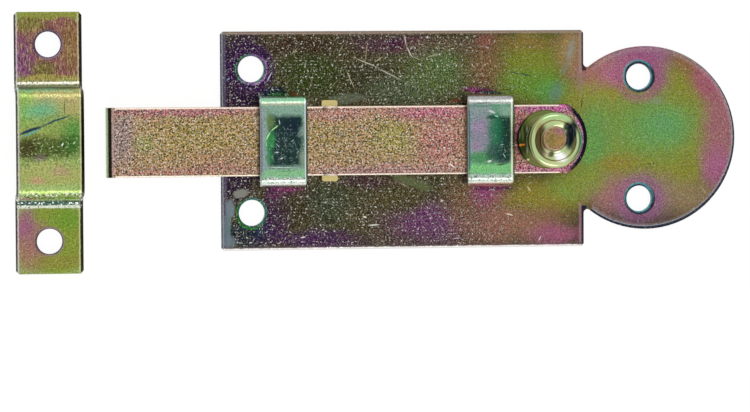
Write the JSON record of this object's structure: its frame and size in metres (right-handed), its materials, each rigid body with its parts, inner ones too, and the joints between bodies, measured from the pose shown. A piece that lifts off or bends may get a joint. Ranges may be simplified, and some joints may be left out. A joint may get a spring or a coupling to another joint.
{
  "type": "window bolt",
  "caption": "Flat surface bolt on a plate with one round end: a bar slides under U straps by a turned knob, with a hat-shaped keeper set in line beyond its nose.",
  "frame": {"origin": "middle of the base plate's back face", "axes": "+X from the bar's nose towards the knob, +Z out of the plate's front"},
  "size_m": [0.1667, 0.0594, 0.0198],
  "materials": {
    "plated_plate": "iridescent yellow zinc plating, satin",
    "plated_straps": "iridescent green zinc plating, glossy",
    "plated_bar": "iridescent yellow and pink zinc plating, satin",
    "plated_knob": "turned, yellow-green zinc plating, glossy",
    "plated_rivet": "yellow zinc plating, matt",
    "plated_keeper": "iridescent green and pink zinc plating, satin"
  },
  "bodies": {
    "plate": {"base_plate": "plated_plate", "strap_nose": "plated_straps", "strap_knob": "plated_straps", "keeper": "plated_keeper"},
    "bar": {"bolt_bar": "plated_bar", "knob": "plated_knob", "knob_rivet": "plated_rivet"}
  },
  "joints": [
    {"name": "bolt_slide", "type": "slide", "parent": "plate", "child": "bar", "axis": [1, 0, 0], "range_m": [0, 0.029]}
  ]
}
